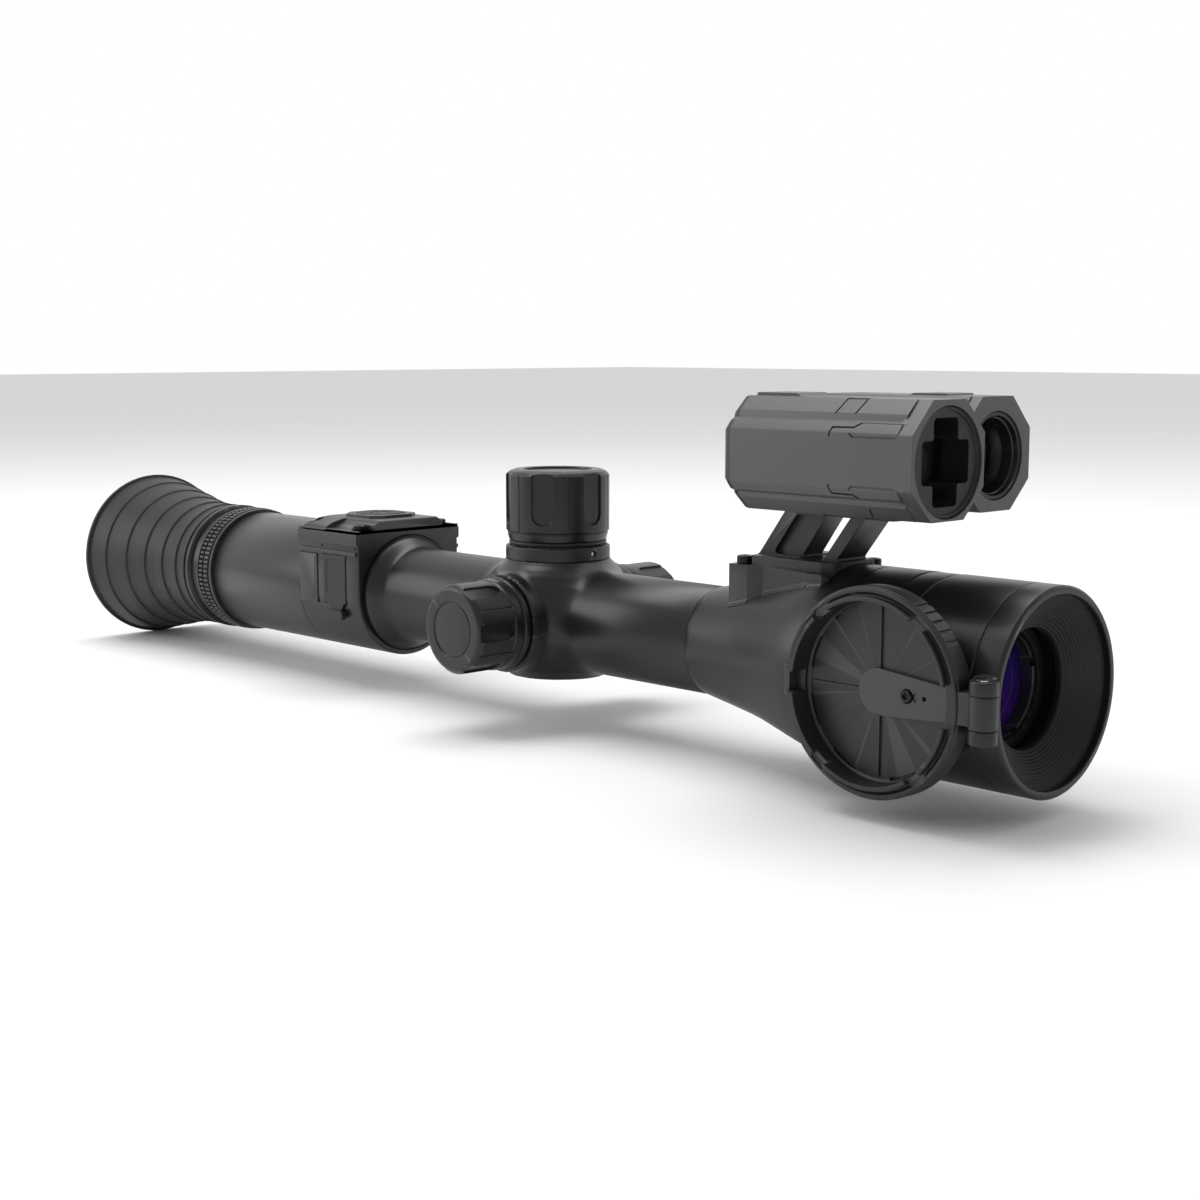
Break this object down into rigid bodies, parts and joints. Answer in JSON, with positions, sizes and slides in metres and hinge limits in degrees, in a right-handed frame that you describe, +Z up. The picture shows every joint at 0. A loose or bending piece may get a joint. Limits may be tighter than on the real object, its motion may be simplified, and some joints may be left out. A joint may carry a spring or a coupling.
{
  "type": "digital telescopic sight with rangefinder",
  "caption": "Digital telescopic sight with a flared eyecup, a turret cap, side knobs, a flip cap over the objective and a twin-barrel laser rangefinder on a raked bracket.",
  "frame": {"origin": "where the turret axis meets the optical axis, in the middle of the clamping tube", "axes": "+X along the optical axis towards the objective, +Z up through the turret cap, +Y to the shooter's left"},
  "size_m": [0.4077, 0.082, 0.0991],
  "materials": {
    "black_rubber": "matt moulded rubber",
    "black_anodised": "satin black hard anodising",
    "dark_grey_anodised": "satin dark grey anodising",
    "inner_black": "matt black anodising",
    "lens_glass": "polished, anti-reflection coated",
    "coated_lens": "polished, blue to violet coating",
    "black_plastic": "fine-textured moulding",
    "board_green": "solder mask",
    "chip_glass": "gloss",
    "plated_steel": "nickel plated",
    "black_steel": "black oxide",
    "bare_aluminium": "machined",
    "cell_blue": "printed sleeve, plain",
    "brass": "gold flash",
    "rack_steel": "ground",
    "amber_film": "polyimide film"
  },
  "bodies": {
    "sight": {"eyecup": "black_rubber", "eyecup_ring": "dark_grey_anodised", "ocular_barrel": "inner_black", "display": "chip_glass", "display_board": "board_green", "rear_housing": "black_anodised", "top_cover": "black_anodised", "cover_screws": "black_steel", "key_board": "board_green", "main_board": "board_green", "side_plate": "dark_grey_anodised", "usb_port": "plated_steel", "main_tube": "black_anodised", "base_ring": "dark_grey_anodised", "battery_well": "bare_aluminium", "battery": "cell_blue", "battery_spring": "plated_steel", "menu_encoder": "black_plastic", "bell": "black_anodised", "front_barrel": "black_anodised", "lock_ring": "black_anodised", "sensor_board": "board_green", "image_sensor": "chip_glass", "ribbon_cable": "amber_film", "hinge_ring": "black_anodised", "baffle_cone": "inner_black", "hinge_pin": "plated_steel", "hinge_spring": "plated_steel", "bracket": "dark_grey_anodised", "mount_bolts": "black_steel", "lrf_body": "dark_grey_anodised", "rx_mask": "inner_black", "rx_lens": "lens_glass", "tx_bezel": "inner_black", "tx_lens": "lens_glass", "lrf_rear_cover": "dark_grey_anodised", "lrf_cell": "cell_blue", "lrf_board": "board_green", "laser_diode": "brass"},
    "diopter": {"diopter_ring": "black_anodised"},
    "eyepiece": {"eyepiece_cell": "inner_black", "eye_lens": "lens_glass", "field_lens": "lens_glass"},
    "door": {"usb_door": "black_rubber"},
    "pad": {"dpad": "black_plastic"},
    "ok": {"ok_button": "black_plastic"},
    "contact": {"contact_disc": "brass"},
    "cap": {"battery_cap": "black_anodised", "cap_oring": "black_rubber"},
    "menu": {"menu_knob": "black_anodised"},
    "focus": {"focus_knob": "black_anodised", "focus_pinion": "brass"},
    "carriage": {"lens_cell": "inner_black", "objective_lens": "coated_lens", "rear_lens": "lens_glass", "lens_retainer": "inner_black", "focus_rack": "rack_steel"},
    "flip": {"flip_cap": "black_plastic", "cap_tongue": "black_plastic", "cap_screw": "plated_steel"}
  },
  "joints": [
    {"name": "diopter_turn", "type": "hinge", "parent": "sight", "child": "diopter", "pos_m": [-0.1625, 0, 0], "axis": [1, 0, 0], "range_deg": [-61, 61]},
    {"name": "eyepiece_slide", "type": "slide", "parent": "sight", "child": "eyepiece", "axis": [1, 0, 0], "range_m": [-0.00146, 0.00146]},
    {"name": "door_swing", "type": "hinge", "parent": "sight", "child": "door", "pos_m": [-0.0847, -0.0206, 0.0125], "axis": [-1, 0, 0], "range_deg": [0, 90]},
    {"name": "pad_press", "type": "slide", "parent": "sight", "child": "pad", "axis": [0, 0, -1], "range_m": [0, 0.0005], "stiffness_N_per_m": 1200, "springref_m": -0.0006},
    {"name": "ok_press", "type": "slide", "parent": "sight", "child": "ok", "axis": [0, 0, -1], "range_m": [0, 0.0005], "stiffness_N_per_m": 1000, "springref_m": -0.0006},
    {"name": "contact_lift", "type": "slide", "parent": "sight", "child": "contact", "axis": [0, 0, 1], "range_m": [0, 0.0025]},
    {"name": "cap_unscrew", "type": "hinge", "parent": "contact", "child": "cap", "pos_m": [0, 0, 0.035], "axis": [0, 0, 1], "range_deg": [0, 720]},
    {"name": "menu_turn", "type": "hinge", "parent": "sight", "child": "menu", "pos_m": [0, -0.032, 0], "axis": [0, -1, 0], "continuous": true},
    {"name": "focus_turn", "type": "hinge", "parent": "sight", "child": "focus", "pos_m": [0, 0, 0], "axis": [0, 1, 0], "range_deg": [-61, 61]},
    {"name": "carriage_slide", "type": "slide", "parent": "sight", "child": "carriage", "axis": [1, 0, 0], "range_m": [-0.00313, 0.00313]},
    {"name": "cap_flip", "type": "hinge", "parent": "sight", "child": "flip", "pos_m": [0.1729, -0.0315, 0], "axis": [0, 0, 1], "range_deg": [0, 270], "stiffness_Nm_per_rad": 0.003, "springref_deg": -28.65}
  ],
  "couplings": [
    {"joint": "diopter_turn", "follows": "eyepiece_slide", "rad_per_m": 714.3},
    {"joint": "cap_unscrew", "follows": "contact_lift", "rad_per_m": 5026.5},
    {"joint": "focus_turn", "follows": "carriage_slide", "rad_per_m": -333.3}
  ]
}
